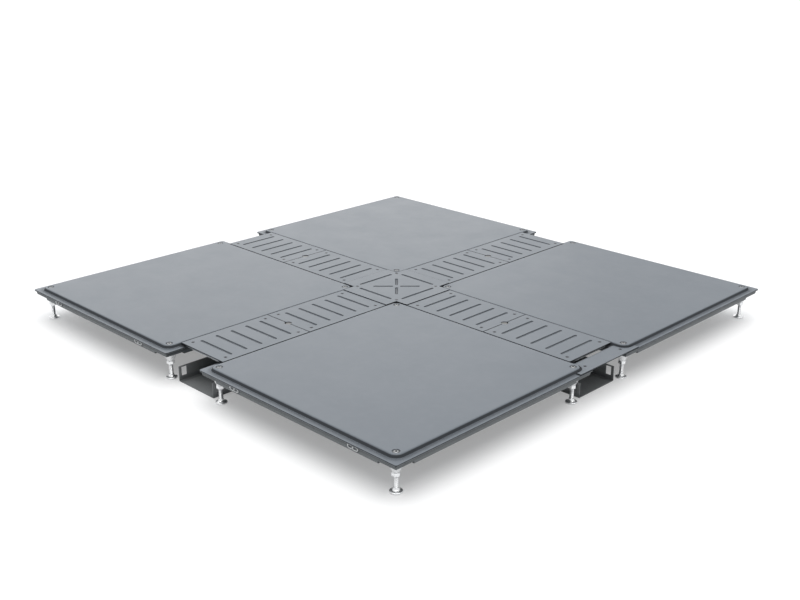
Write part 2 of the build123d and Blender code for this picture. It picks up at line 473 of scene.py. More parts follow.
def plate(maker: MeshMaker, outline: Shape, rim: Profile, cuts: list[Cut]) -> None:
    """Build a flat sheet with rounded edges, holes and pressings.

    Args:
        maker: Takes the faces.
        outline: The sheet's outline.
        rim: Profile of its edge, from the upper face to the lower.
        cuts: What is pressed into it or cut through it.
    """
    outer = maker.loft(outline, rim)
    top, bottom = [outer[0]], [outer[-1]]
    for cut in cuts:
        rings = maker.loft(cut.shape, cut.profile)
        top.append(rings[0])
        if not cut.below:
            bottom.append(rings[-1])
            continue
        maker.cap(rings[-1])
        under = maker.loft(cut.shape, cut.below)
        maker.cap(under[-1])
        bottom.append(under[0])
    maker.fill(top)
    maker.fill(bottom)


class Wires:
    """Short calls for wiring nodes in a material, a world or a group."""

    def __init__(self, tree: NodeTree) -> None:
        """Keep the tree and forget its old nodes."""
        self.tree = tree
        self.tree.nodes.clear()

    def feed(self, node: Node, feeds: dict[str | int, object]) -> None:
        """Feed a node's inputs.

        Args:
            node: The node.
            feeds: What each input gets: another node's socket, or a constant.
        """
        for key, value in feeds.items():
            if isinstance(value, Socket):
                self.tree.links.new(value, node.inputs[key])
            else:
                node.inputs[key].default_value = value

    def add(self, kind: str, feeds: dict[str | int, object] | None = None, **values: object) -> Node:
        """Add a node, set its properties and feed its inputs.

        Args:
            kind: Blender's name of the node.
            feeds: What each input gets.
            values: Properties of the node.

        Returns:
            Node: The node.
        """
        node = self.tree.nodes.new(kind)
        for name, value in values.items():
            setattr(node, name, value)
        self.feed(node, feeds or {})
        return node

    def place(self) -> Socket:
        """Place on the object, in metres."""
        return self.add("ShaderNodeTexCoord").outputs["Object"]

    def upward(self) -> Socket:
        """How far the surface faces up: 1 on level faces, 0 on upright ones."""
        normal = self.add("ShaderNodeNewGeometry").outputs["Normal"]
        return self.add("ShaderNodeSeparateXYZ", {0: normal}).outputs["Z"]

    def noise(self, place: Socket, scale: object, detail: float = 3.0) -> Socket:
        """Noise over a place, about 0.5 in the middle."""
        feeds = {"Vector": place, "Scale": scale, "Detail": detail}
        return self.add("ShaderNodeTexNoise", feeds).outputs["Fac"]

    def shelter(self, reach: float, samples: int, inside: bool = False) -> Socket:
        """Open share of what lies round a point, less than 1 in a hollow, or inside an edge."""
        return self.add(
            "ShaderNodeAmbientOcclusion", {"Distance": reach}, samples=samples, inside=inside
        ).outputs["AO"]

    def spread(self, value: Socket, band: Point, to: Point = (0.0, 1.0)) -> Socket:
        """Map a value's band to another one, held at both ends."""
        feeds = {"Value": value, "From Min": band[0], "From Max": band[1], "To Min": to[0], "To Max": to[1]}
        return self.add("ShaderNodeMapRange", feeds, clamp=True).outputs["Result"]

    def maths(self, operation: str, a: object, b: object) -> Socket:
        """Combine two values, each a socket or a number."""
        return self.add("ShaderNodeMath", {0: a, 1: b}, operation=operation).outputs[0]

    def product(self, a: object, b: object, c: object = None) -> Socket:
        """Multiply two or three values, each a socket or a number."""
        both = self.maths("MULTIPLY", a, b)
        return both if c is None else self.maths("MULTIPLY", both, c)

    def mix(self, factor: Socket, a: object, b: object) -> Socket:
        """Mix two colours, each a socket or four numbers."""
        return self.add("ShaderNodeMix", {0: factor, 6: a, 7: b}, data_type="RGBA").outputs[2]

    def show(self, share: Socket, first: Node, second: Node, kind: str) -> None:
        """Mix two shaders by a share of the second, and send them out through a kind of output."""
        mixed = self.add("ShaderNodeMixShader", {0: share, 1: first.outputs[0], 2: second.outputs[0]})
        self.add(kind, {"Surface": mixed.outputs[0]})


class Groups:
    """Shader groups that the finishes share, each built once.

    A scale counts features per metre. A band is the part of a value that counts: the mask is
    nothing at its first number and full at its second.
    """

    CLOUD_SCALE = 4.0
    CLOUD_BAND = (0.3, 0.7)
    LEVEL_BAND = (0.6, 1.0)
    SPECK_SCALE = 60.0
    SPECK_BAND = (0.45, 0.75)
    RIDGE_REACH = 0.0008
    RIDGE_BAND = (0.95, 0.5)
    RUB_SCALE = 90.0
    RUB_BAND = (0.42, 0.62)
    # The next five paint shade: how far hollows reach, which hollows and sides darken, their dark colour
    # and how much duller they get.
    HOLLOW_REACH = 0.012
    HOLLOW_BAND = (0.97, 0.83)
    SIDE_BAND = (0.86, 0.68)
    GRIME_COLOR = (0.012, 0.014, 0.017, 1.0)
    GRIME_DULLNESS = 0.5
    PATCH_SCALE = 14.0
    BOTH_WAYS = (-1.0, 1.0)

    @staticmethod
    def start(name: str, inputs: tuple[str, ...], outputs: tuple[str, ...]) -> tuple:
        """Make an empty group. A socket named for a colour holds one, and the others a number.

        Args:
            name: Name of the group.
            inputs: Names of its inputs.
            outputs: Names of its outputs.

        Returns:
            tuple: The tree's helper, and the sockets that bring the inputs in.
        """
        tree = bpy.data.node_groups.new(name, "ShaderNodeTree")
        for side, labels in (("INPUT", inputs), ("OUTPUT", outputs)):
            for label in labels:
                kind = "NodeSocketColor" if label.endswith("Color") else "NodeSocketFloat"
                tree.interface.new_socket(name=label, in_out=side, socket_type=kind)
        wires = Wires(tree)
        return wires, wires.add("NodeGroupInput").outputs

    @staticmethod
    @cache
    def drift() -> NodeTree:
        """Slow cloudy change of tone, and dust that gathers on level faces.

        Returns:
            NodeTree: The group.
        """
        wires, given = Groups.start("tone_drift", ("Color", "Dust Color", "Drift", "Dust"), ("Color",))
        place = wires.place()
        cloud = wires.noise(place, Groups.CLOUD_SCALE, 4.0)
        shade = wires.product(wires.spread(cloud, Groups.CLOUD_BAND, Groups.BOTH_WAYS), given["Drift"])
        feeds = {"Value": wires.maths("ADD", shade, 1.0), "Color": given["Color"]}
        clouded = wires.add("ShaderNodeHueSaturation", feeds).outputs["Color"]
        level = wires.spread(wires.upward(), Groups.LEVEL_BAND)
        specks = wires.spread(wires.noise(place, Groups.SPECK_SCALE, 6.0), Groups.SPECK_BAND)
        mask = wires.product(level, specks, given["Dust"])
        wires.add("NodeGroupOutput", {"Color": wires.mix(mask, clouded, given["Dust Color"])})
        return wires.tree

    @staticmethod
    @cache
    def edge_wear() -> NodeTree:
        """Thin bright wear along edges, and painted shade, dark and dull, in hollows and on sides and
        slopes.

        Returns:
            NodeTree: The group.
        """
        wires, given = Groups.start(
            "edge_wear", ("Color", "Wear Color", "Wear", "Grime", "Side Grime"), ("Color", "Dull")
        )
        ridge = wires.spread(wires.shelter(Groups.RIDGE_REACH, 4, inside=True), Groups.RIDGE_BAND)
        rubbed = wires.spread(wires.noise(wires.place(), Groups.RUB_SCALE, 5.0), Groups.RUB_BAND)
        wear = wires.product(ridge, rubbed, given["Wear"])
        # Painted shade: hollows that ambient occlusion finds are darkened and dulled.
        hollow = wires.spread(wires.shelter(Groups.HOLLOW_REACH, 8), Groups.HOLLOW_BAND)
        # Painted shade: faces that stand upright or lean are darkened and dulled.
        side = wires.spread(wires.maths("ABSOLUTE", wires.upward(), 0.0), Groups.SIDE_BAND)
        grime = wires.maths(
            "MAXIMUM", wires.product(hollow, given["Grime"]), wires.product(side, given["Side Grime"])
        )
        shaded_color = wires.mix(grime, given["Color"], Groups.GRIME_COLOR)
        worn = wires.mix(wear, shaded_color, given["Wear Color"])
        wires.add("NodeGroupOutput", {"Color": worn, "Dull": wires.product(grime, Groups.GRIME_DULLNESS)})
        return wires.tree

    @staticmethod
    @cache
    def coat_grain() -> NodeTree:
        """Fine height and slow gloss change of a sprayed, plated or cast skin.

        Returns:
            NodeTree: The group.
        """
        wires, given = Groups.start(
            "coat_grain", ("Grain Scale", "Roughness", "Roughness Spread"), ("Height", "Roughness")
        )
        place = wires.place()
        fine = wires.noise(place, given["Grain Scale"], 2.0)
        patch = wires.spread(
            wires.noise(place, Groups.PATCH_SCALE, 5.0), Groups.CLOUD_BAND, Groups.BOTH_WAYS
        )
        change = wires.product(patch, given["Roughness Spread"])
        rough = wires.maths("ADD", change, given["Roughness"])
        wires.add("NodeGroupOutput", {"Height": fine, "Roughness": rough})
        return wires.tree


@dataclass(frozen=True)
class Finish:
    """A surface finish: its colour, gloss, grain, wear and painted shade.

    Attributes:
        name: Name of the material.
        color: Linear red, green and blue.
        metallic: Share of bare metal.
        roughness: Middle of its roughness.
        roughness_spread: How far the roughness drifts.
        specular: Level of the plain reflection.
        drift: Share by which the tone drifts.
        dust: Most dust on level faces.
        dust_color: Colour of that dust.
        wear: Strength of the wear on edges.
        wear_color: Colour of the worn edges.
        grime: Strength of the painted shade, dark and dull, in hollows.
        side_grime: Strength of the painted shade, dark and dull, on sides and slopes.
        grain_scale: Grains per metre.
        grain_height: Height of the grain in metres.
    """

    name: str
    color: Triple
    metallic: float = 0.0
    roughness: float = 0.4
    roughness_spread: float = 0.06
    specular: float = 0.5
    drift: float = 0.05
    dust: float = 0.1
    dust_color: Triple = (0.42, 0.42, 0.41)
    wear: float = 0.3
    wear_color: Triple = (0.45, 0.46, 0.48)
    grime: float = 0.75
    side_grime: float = 0.0
    grain_scale: float = 900.0
    grain_height: float = 0.00002

    def place(self, wires: Wires, group: NodeTree) -> Node:
        """Place a shared group. Each of its inputs takes the field that it is named for.

        Args:
            wires: The material's tree.
            group: The group.

        Returns:
            Node: The group's node.
        """
        node = wires.add("ShaderNodeGroup", node_tree=group)
        for socket in node.inputs:
            value = getattr(self, socket.name.lower().replace(" ", "_"))
            socket.default_value = (*value, 1.0) if socket.type == "RGBA" else value
        return node

    def material(self) -> Material:
        """Build the material, or give back the one built before.

        Returns:
            Material: The material.
        """
        known = bpy.data.materials.get(self.name)
        if known:
            return known
        material = bpy.data.materials.new(self.name)
        material.use_nodes = True
        wires = Wires(material.node_tree)
        drift = self.place(wires, Groups.drift())
        # The group's colour carries the edge wear and the painted shade.
        wear = self.place(wires, Groups.edge_wear())
        wires.feed(wear, {"Color": drift.outputs["Color"]})
        grain = self.place(wires, Groups.coat_grain())
        feeds = {"Strength": 1.0, "Distance": self.grain_height, "Height": grain.outputs["Height"]}
        bump = wires.add("ShaderNodeBump", feeds)
        feeds = {
            "Metallic": self.metallic,
            "Specular IOR Level": self.specular,
            "Base Color": wear.outputs["Color"],
            "Roughness": wires.maths("ADD", grain.outputs["Roughness"], wear.outputs["Dull"]),
            "Normal": bump.outputs["Normal"],
        }
        shader = wires.add("ShaderNodeBsdfPrincipled", feeds)
        wires.add("ShaderNodeOutputMaterial", {"Surface": shader.outputs["BSDF"]})
        return material


# Each finish paints shade, dark and dull, into its hollows by its share; the blue-grey enamel also paints
# it on its sides and slopes.
ENAMEL = Finish(
    "blue_grey_enamel", (0.125, 0.143, 0.164), roughness=0.33, roughness_spread=0.03, specular=0.32,
    drift=0.015, dust=0.04, dust_color=(0.3, 0.31, 0.32), wear=0.1, grime=0.95, side_grime=0.9,
    grain_scale=1400.0, grain_height=0.000012,
)
PAN_ENAMEL = Finish(
    "pan_enamel", (0.115, 0.128, 0.134), roughness=0.5, drift=0.02, dust=0.03, wear=0.05,
    grain_scale=1100.0,
)
GALVANISED = Finish(
    "galvanised_fold", (0.36, 0.38, 0.40), metallic=0.85, roughness=0.42, roughness_spread=0.12,
    drift=0.14, dust=0.05, wear=0.2, wear_color=(0.7, 0.71, 0.72), grime=0.95,
    grain_scale=300.0, grain_height=0.000015,
)
TRAY_STEEL = Finish(
    "dark_tray_steel", (0.24, 0.25, 0.255), metallic=0.35, roughness=0.5, roughness_spread=0.1,
    drift=0.2, dust=0.12, dust_color=(0.2, 0.2, 0.2), wear=0.1, wear_color=(0.25, 0.26, 0.27),
    grime=0.4, grain_scale=700.0,
)
ZINC = Finish(
    "bright_zinc", (0.84, 0.85, 0.86), metallic=0.85, roughness=0.24, roughness_spread=0.08,
    drift=0.06, dust=0.03, wear=0.15, wear_color=(0.9, 0.9, 0.9), grime=0.12,
    grain_scale=1500.0, grain_height=0.00001,
)
SCREW_ZINC = Finish(
    "polished_screw", (0.36, 0.37, 0.38), metallic=1.0, roughness=0.3, drift=0.04, dust=0.02,
    wear=0.1, wear_color=(0.92, 0.92, 0.92), grain_scale=1800.0, grain_height=0.000008,
)
BLACK_SCREW = Finish(
    "blackened_screw", (0.03, 0.033, 0.04), metallic=0.6, roughness=0.38, drift=0.1,
    dust_color=(0.2, 0.2, 0.2), wear=0.5, wear_color=(0.3, 0.3, 0.32),
)
CAP_PLASTIC = Finish(
    "cap_plastic", (0.66, 0.67, 0.67), roughness=0.35, dust=0.08, wear=0.2,
    wear_color=(0.75, 0.75, 0.75), grime=0.9, grain_scale=1200.0,
)
CEMENT = Finish(
    "cast_cement", (0.40, 0.39, 0.37), roughness=0.9, roughness_spread=0.05, specular=0.3,
    drift=0.2, dust=0.3, wear=0.1, grain_scale=500.0, grain_height=0.0002,
)


def dress(
    obj: Object, finish: Finish, node: str | None = None, body: str = ROOT
) -> None:
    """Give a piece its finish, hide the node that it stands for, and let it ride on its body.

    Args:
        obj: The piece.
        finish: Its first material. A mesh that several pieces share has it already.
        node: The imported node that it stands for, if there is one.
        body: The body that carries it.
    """
    if node:
        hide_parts(node)
    if not obj.data.materials:
        obj.data.materials.append(finish.material())
    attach(obj, body)
    log.info("%s: %d faces", obj.name, len(obj.data.polygons))


def soften(node: str, work: str, radius: float, finish: Finish) -> None:
    """Copy a folded or drawn solid, round its edges a little and dress it.

    Args:
        node: The node that the new piece stands for.
        work: How its sheet was worked, as the piece's name says it.
        radius: Rounding in millimetres.
        finish: Its finish.
    """
    maker = MeshMaker()
    mesh = maker.mesh
    mesh.from_mesh(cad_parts[node].data)
    for vert in mesh.verts:
        vert.co /= MM
    bmesh.ops.remove_doubles(mesh, verts=mesh.verts, dist=WELD_GAP)
    bmesh.ops.dissolve_limit(
        mesh, angle_limit=math.radians(FLAT_BEND), verts=mesh.verts, edges=mesh.edges
    )
    bmesh.ops.bevel(
        mesh, geom=bent_edges(mesh, FOLD_BEND), offset=radius, segments=2, profile=0.5,
        affect="EDGES", clamp_overlap=True,
    )
    for face in mesh.faces:
        face.smooth = face.calc_area() < SMOOTH_AREA
    dress(maker.piece(f"{work}_{node}"), finish, node)


@dataclass
class DeckPanel:
    """One panel: pressed deck sheet, drawn pan and the cement between them.

    The seat is a section of inset and rise. The roundings go from the step's upper edge round
    the flange to the step's inner side.
    """

    layout: Layout
    panel: Panel
    top_band: float = 3.0
    roundings: tuple[float, ...] = (2.0, 1.4, 0.5, 0.5, 1.2, 1.8)
    flange_corner_r: float = 4.0
    corner_steps: int = 10
    seat_r: float = 7.3
    seat: Section = ((0.0, 0.0), (0.4, -0.05), (0.8, -0.25), (2.0, -1.2), (2.3, -DECK_SHEET_T))
    pan_edge: float = 0.45

    def outline(self, inset: float) -> list[Point]:
        """Outline of the sheet, at a distance in from the flange's edge.

        Args:
            inset: That distance.

        Returns:
            list[Point]: The outline, about the panel's middle.
        """
        foot_r = DECK_CORNER_R + STEP_RUN
        if inset >= LEDGE_WIDTH:
            radius = foot_r + LEDGE_WIDTH - inset
        else:
            radius = self.flange_corner_r + (foot_r - self.flange_corner_r) * (inset / LEDGE_WIDTH)
        c = self.layout.half_panel - inset - radius
        corners = (((c, c), 0), ((-c, c), 90), ((-c, -c), 180), ((c, -c), 270))
        steps = self.corner_steps
        return [p for at, start in corners for p in arc(at, radius, start, start + 90, steps)]

    def profile(self) -> list[Point]:
        """Section of the sheet, from the walking surface round to its underside.

        Returns:
            list[Point]: Pairs of inset and level.
        """
        lay = self.layout
        step_in = LEDGE_WIDTH + STEP_RUN
        under = lay.deck_z - DECK_SHEET_T
        line = [
            (step_in + self.top_band, lay.deck_z),
            (step_in, lay.deck_z),
            (LEDGE_WIDTH, lay.ledge_z),
            (0.0, lay.ledge_z),
            (0.0, lay.flange_z),
            (LEDGE_WIDTH, lay.flange_z),
            (step_in, under),
            (step_in + self.top_band, under),
        ]
        return round_off(line, self.roundings)

    def build(self) -> None:
        """Build the deck sheet with its four pressed screw seats, the pan and the core's finish."""
        lay, label = self.layout, self.panel.label
        seat = at_level(self.seat, lay.deck_z)
        maker = MeshMaker()
        cuts = [Cut(circle(self.seat_r, at=at), seat) for at in lay.panel_corners()]
        plate(maker, self.outline, self.profile(), cuts)
        maker.mesh.transform(Matrix.Translation((*lay.middle(self.panel), 0)))
        node = f"deck_sheet_{label}"
        dress(maker.piece(f"pressed_{node}"), ENAMEL, node)
        soften(f"pan_{label}", "drawn", self.pan_edge, PAN_ENAMEL)
        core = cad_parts[f"infill_{label}"]
        core.data.materials.clear()
        core.data.materials.append(CEMENT.material())


@dataclass
class Pedestal:
    """The levelling pedestals: head, lock nut, threaded foot and corner screw.

    The domes and the socket are sections of inset and rise.
    """

    layout: Layout
    head_r: float = 15.5
    plate_t: float = 2.5
    neck_top_r: float = 14.0
    neck_end_r: float = 6.8
    neck_length: float = 16.0
    head_roundings: tuple[float, ...] = (0.5, 0.7, 1.0, 0.6)
    nut_flats: float = 13.0
    nut_height: float = 6.5
    nut_corner: Point = (0.7, 0.45)
    bore_chamfer: float = 0.4
    foot_r: float = 11.0
    foot_top: float = 9.0
    foot_dome: Section = (
        (0.3, 0.0), (0.0, 0.3), (0.0, 2.1), (0.3, 2.7), (1.0, 3.1), (3.3, 3.9), (5.2, 5.0),
        (6.0, 6.4), (6.4, 8.6), (7.35, 9.0),
    )
    thread_pitch: float = 1.25
    thread_root_r: float = 3.45
    thread_play: float = 0.02
    thread_sides: int = 20
    thread_sink: float = 0.3
    screw_head_r: float = 5.8
    screw_head_drop: float = 0.4
    screw_rim: float = 0.8
    screw_dome: Section = (
        (2.7, 0.35), (2.3, 0.28), (1.8, 0.0), (1.2, -0.5), (0.5, -0.75), (0.0, -0.8),
    )
    screw_socket: float = 4.0
    socket: Section = ((-0.25, 0.35), (0.0, 0.1), (0.0, -2.2))
    screw_tip_z: float = 50.0
    screw_tip: float = 0.6

    @property
    def neck_end_z(self) -> float:
        """Level of the neck's lower end, where the nut sits."""
        return self.layout.seat_z - self.plate_t - self.neck_length

    def head(self) -> Mesh:
        """Build the round head, bored right through.

        Returns:
            Mesh: The head, on the origin's axis as the others are.
        """
        top = self.layout.seat_z
        under = top - self.plate_t
        line = [
            (BORE_R, top),
            (self.head_r, top),
            (self.head_r, under),
            (self.neck_top_r, under),
            (self.neck_end_r, self.neck_end_z),
            (BORE_R, self.neck_end_z),
        ]
        maker = MeshMaker()
        maker.turned(round_off(line, self.head_roundings, 3))
        return maker.shared("pedestal_head")

    def nut(self) -> Mesh:
        """Build the hexagon lock nut.

        Returns:
            Mesh: The nut.
        """
        top, low = self.neck_end_z, self.neck_end_z - self.nut_height
        c, (side, drop) = self.bore_chamfer, self.nut_corner
        bore = Cut(circle(BORE_R), ((-c, top), (0.0, top - c), (0.0, low + c), (-c, low)))
        rim = [(side, top), (0.0, top - drop), (0.0, low + drop), (side, low)]
        maker = MeshMaker()
        plate(maker, hexagon(self.nut_flats), rim, [bore])
        return maker.shared("lock_nut")

    def foot(self) -> Mesh:
        """Build the foot and its threaded stud as one piece.

        Returns:
            Mesh: The foot.
        """
        dome = [(self.foot_r - inset, z) for inset, z in self.foot_dome]
        maker = MeshMaker()
        maker.turned([(0.0, 0.0), *dome, (0.0, self.foot_top)])
        self.thread(maker, self.foot_top - self.thread_sink, self.layout.stud_top)
        return maker.shared("levelling_foot")

    def thread(self, maker: MeshMaker, low: float, high: float) -> None:
        """Add a helical thread between two levels.

        Args:
            maker: Takes the faces.
            low: Level where the thread starts.
            high: Level where it ends.
        """
        sides, pitch, mesh = self.thread_sides, self.thread_pitch, maker.mesh
        last = round((high - low) / pitch * sides)

        def strand(radius: float, lift: float, count: int) -> Loop:
            """Corners along one helix, from a turn before its start, lifted by a share of a turn."""
            verts = []
            for k in range(-sides, count + 1):
                angle = 2 * math.pi * k / sides
                z = min(max(low + pitch * (k / sides + lift), low), high)
                verts.append(mesh.verts.new((radius * math.cos(angle), radius * math.sin(angle), z)))
            return verts

        root = strand(self.thread_root_r, 0.0, last + sides)
        crest = strand(STUD_R - self.thread_play, 0.5, last)
        for k in range(len(crest) - 1):
            up = k + sides
            mesh.faces.new((root[k], root[k + 1], crest[k + 1], crest[k]))
            mesh.faces.new((crest[k], crest[k + 1], root[up + 1], root[up]))
        maker.cap(root[:sides])
        maker.cap(root[-sides:])
        bmesh.ops.remove_doubles(mesh, verts=mesh.verts, dist=WELD_GAP)
        bmesh.ops.dissolve_degenerate(mesh, edges=mesh.edges, dist=WELD_GAP)

    def screw(self) -> Mesh:
        """Build the countersunk corner screw with its socket.

        Returns:
            Mesh: The screw.
        """
        top = self.layout.deck_z - self.screw_head_drop
        lean = self.screw_head_r - STUD_R
        body = at_level(self.screw_dome, top)
        body += [(lean, top - lean - self.screw_rim), (lean, self.screw_tip_z + self.screw_tip)]
        body.append((lean + self.screw_tip, self.screw_tip_z))
        socket = (hexagon(self.screw_socket), at_level(self.socket, top))
        maker = MeshMaker()
        maker.socketed((circle(self.screw_head_r), body), socket)
        return maker.shared("corner_screw")

    def build(self) -> None:
        """Set all sixteen pedestals."""
        lay = self.layout
        head, nut, foot, screw = self.head(), self.nut(), self.foot(), self.screw()
        for panel in Panel:
            mx, my = lay.middle(panel)
            for number, (cx, cy) in enumerate(lay.panel_corners(), start=1):
                tag = f"{panel.label}_{number}"
                body = f"levelling_foot_{tag}"
                for name, mesh, finish, slot, node, carrier in (
                    ("pedestal_head", head, ZINC, Slot.ZINC, f"pedestal_heads_{panel.label}", ROOT),
                    ("lock_nut", nut, ZINC, Slot.ZINC, "lock_nuts", ROOT),
                    ("corner_screw", screw, SCREW_ZINC, Slot.SCREW, "corner_screws", ROOT),
                    ("levelling_foot", foot, ZINC, Slot.ZINC, f"foot_{tag}", body),
                ):
                    piece = placed(f"{name}_{tag}", mesh, (mx + cx, my + cy))
                    dress(piece, finish, node, carrier)


@dataclass
class SmallScrew:
    """Blackened countersunk screw that holds covers, centre plate and strip.

    An edge is the inset and the height of a rounded edge, and the cross recess is narrower at
    its bottom by its lean.
    """

    head_r: float = 3.2
    head_edge: Point = (0.3, 0.2)
    shank_r: float = 1.6
    shank_play: float = 0.3
    sink: float = 0.25
    seat_play: float = 0.35
    seat_edge: Point = (0.15, 0.05)
    seat_land: float = 0.3
    recess: float = 0.9
    recess_width: float = 0.9
    recess_share: float = 0.62
    recess_lean: float = 0.15
    sides: int = 20

    def seat(self, top: float, bottom: float, at: Point) -> Cut:
        """Countersunk hole for the screw.

        Args:
            top: Upper face of the sheet.
            bottom: Its lower face.
            at: Place in plan.

        Returns:
            Cut: The hole.
        """
        r = self.head_r + self.seat_play
        lean = r - self.shank_r - self.shank_play
        inset, drop = self.seat_edge
        foot = max(top - lean, bottom + self.seat_land)
        profile = ((0.0, top), (inset, top - drop), (lean, foot), (lean, bottom))
        return Cut(circle(r, self.sides, at), profile)

    def mesh(self, top: float, length: float) -> Mesh:
        """Build the screw with a cross recess.

        Args:
            top: Upper face of the sheet that it holds.
            length: Head to tip.

        Returns:
            Mesh: The screw, on the origin's axis.
        """
        head = top - self.sink
        lean = self.head_r - self.shank_r
        inset, drop = self.head_edge
        body = [(inset, head), (0.0, head - drop), (lean, head - drop - lean), (lean, head - length)]
        cross = cross_shape(self.head_r * self.recess_share, self.recess_width / 2)
        recess = (cross, [(0.0, head), (self.recess_lean, head - self.recess)])
        maker = MeshMaker()
        maker.socketed((circle(self.head_r, self.sides), body), recess)
        return maker.shared("small_screw")


@dataclass(frozen=True)
class Bead:
    """A groove pressed into a cover sheet, its angle in degrees from X.

    The section gives shares of half its width and of its depth, from its edge to its bottom.
    """

    length: float
    angle: float
    at: Point
    width: float = 6.5
    depth: float = 1.5
    section: Section = (
        (0.0, 0.0), (0.06, 0.05), (0.2, 0.35), (0.45, 0.8), (0.62, 0.97), (0.88, 1.0),
    )

    def cut(self, top: float) -> Cut:
        """The pressing in a sheet whose upper face is at a level.

        Args:
            top: That level.

        Returns:
            Cut: The pressing.
        """
        above = [(self.width / 2 * i, top - self.depth * d) for i, d in self.section]
        shape = slot_shape(self.length, self.width, self.angle, self.at)
        return Cut(shape, above, at_level(above, -COVER_SHEET_T))


@dataclass
class ScrewedSheet:
    """What the covers, the centre plate and the strip share: an enamelled sheet and its screws."""

    layout: Layout
    screws: SmallScrew
    work: str = "beaded"
    edge: float = 0.6

    def sheet(
        self,
        node: str,
        outline: Shape,
        levels: Point,
        beads: list[Bead],
        places: list[Point],
        turned: Matrix = Matrix.Identity(4),
    ) -> None:
        """Build the sheet with its beads and screw seats.

        Args:
            node: The node that it stands for.
            outline: Its outline.
            levels: Its upper and its lower face.
            beads: Grooves pressed into it.
            places: Its screws in plan.
            turned: Where the finished sheet goes.
        """
        cuts = [bead.cut(levels[0]) for bead in beads]
        cuts += [self.screws.seat(*levels, at) for at in places]
        maker = MeshMaker()
        plate(maker, outline, sheet_edge(*levels, self.edge), cuts)
        maker.mesh.transform(turned)
        dress(maker.piece(f"{self.work}_{node}"), ENAMEL, node)

    @staticmethod
    def drive(name: str, screw: Mesh, places: Iterable[Point]) -> None:
        """Set a numbered screw at each place in plan."""
        for number, at in enumerate(places, start=1):
            dress(placed(f"{name}_{number}", screw, at), BLACK_SCREW)


@dataclass
class TroughCovers(ScrewedSheet):
    """The lift-out covers of the four arms, with the angle frames under them."""

    edge: float = 0.9
    end_gap: float = 1.0
    finger_r: float = 7.0
    corner_r: float = 1.5
    bead_count: int = 5
    bead_pitch: float = 35.0
    bead_margin: float = 17.0
    screw_setback: float = 16.0
    screw_half: float = 50.3
    screw_length: float = 5.0
    frame_edge: float = 0.3

    def outline(self, inset: float) -> list[Point]:
        """Outline of a cover about its middle, half a finger hole at its +X end.

        Args:
            inset: Distance in from its edge.

        Returns:
            list[Point]: The outline.
        """
        lay = self.layout
        x, y = lay.cover_length / 2 - inset, lay.cover_half - inset
        r = max(self.corner_r - inset, LEAST_R)
        hole_x, hole_r = lay.cover_length / 2 + self.end_gap / 2, self.finger_r + inset
        open_angle = math.degrees(math.acos((hole_x - x) / hole_r))
        points = arc((x - r, -y + r), r, -90, 0, 4)
        points += arc((hole_x, 0), hole_r, 180 + open_angle, 180 - open_angle, 16)
        for cx, cy, start in ((x - r, y - r, 0), (-x + r, y - r, 90), (-x + r, -y + r, 180)):
            points += arc((cx, cy), r, start, start + 90, 4)
        return points

    def cover(self, arm: Arm, row: Row, screw: Mesh) -> None:
        """Build one cover, its screws and the frame under it.

        Args:
            arm: The trough arm.
            row: Which cover of the arm. The outer one is turned round, finger hole inwards.
            screw: The shared mesh of the screw.
        """
        lay = self.layout
        tag = f"{arm.label}_{row.label}"
        levels = (lay.deck_z, lay.deck_z - COVER_SHEET_T)
        span = self.bead_pitch * (self.bead_count - 1)
        length = 2 * (lay.cover_half - self.bead_margin)
        beads = [Bead(length, 90, (self.bead_pitch * i - span / 2, 0.0)) for i in range(self.bead_count)]
        places = four(lay.cover_length / 2 - self.screw_setback, self.screw_half)
        middle = lay.cover_start + lay.cover_length / 2 + row.value * (lay.cover_length + self.end_gap)
        place = Matrix.Rotation(math.radians(arm.value), 4, "Z") @ Matrix.Translation((middle, 0, 0))
        flip = Matrix.Rotation(math.pi * row.value, 4, "Z")
        self.sheet(f"cover_{tag}", self.outline, levels, beads, places, place @ flip)
        self.drive(f"cover_screw_{tag}", screw, [(place @ Vector((*at, 0)))[:2] for at in places])
        soften(f"cover_frame_{tag}", "folded", self.frame_edge, GALVANISED)

    def build(self) -> None:
        """Build the eight covers."""
        screw = self.screws.mesh(self.layout.deck_z, self.screw_length)
        for arm in Arm:
            for row in Row:
                self.cover(arm, row, screw)


@dataclass
class CentrePlate(ScrewedSheet):
    """The plus-shaped plate over the crossing and the frame under it."""

    rise: float = 1.0
    corner_r: float = 2.0
    side_bead_at: float = 63.0
    bead_margin: float = 17.0
    diagonal_start: float = 7.0
    diagonal_end: float = 50.0
    screw_inset: float = 7.0
    screw_length: float = 6.0
    frame_edge: float = 0.3

    def build(self) -> None:
        """Build the plate, its screws and its frame."""
        lay = self.layout
        top = lay.deck_z + self.rise
        length = 2 * (lay.cover_half - self.bead_margin)
        diagonal = self.diagonal_end - self.diagonal_start
        radius = (self.diagonal_end + self.diagonal_start) / 2
        beads = []
        for side in (0, 90, 180, 270):
            beads.append(Bead(length, side + 90, turn((self.side_bead_at, 0.0), side)))
            beads.append(Bead(diagonal, side + 45, turn((radius, 0.0), side + 45)))
        reach = lay.flange_edge + self.screw_inset
        places = four(reach, reach)
        outline = cross_shape(lay.centre_reach, lay.cover_half, self.corner_r)
        levels = (top, top - COVER_SHEET_T)
        self.sheet("centre_plate", outline, levels, beads, places)
        self.drive("centre_screw", self.screws.mesh(top, self.screw_length), places)
        soften("centre_frame", "folded", self.frame_edge, GALVANISED)


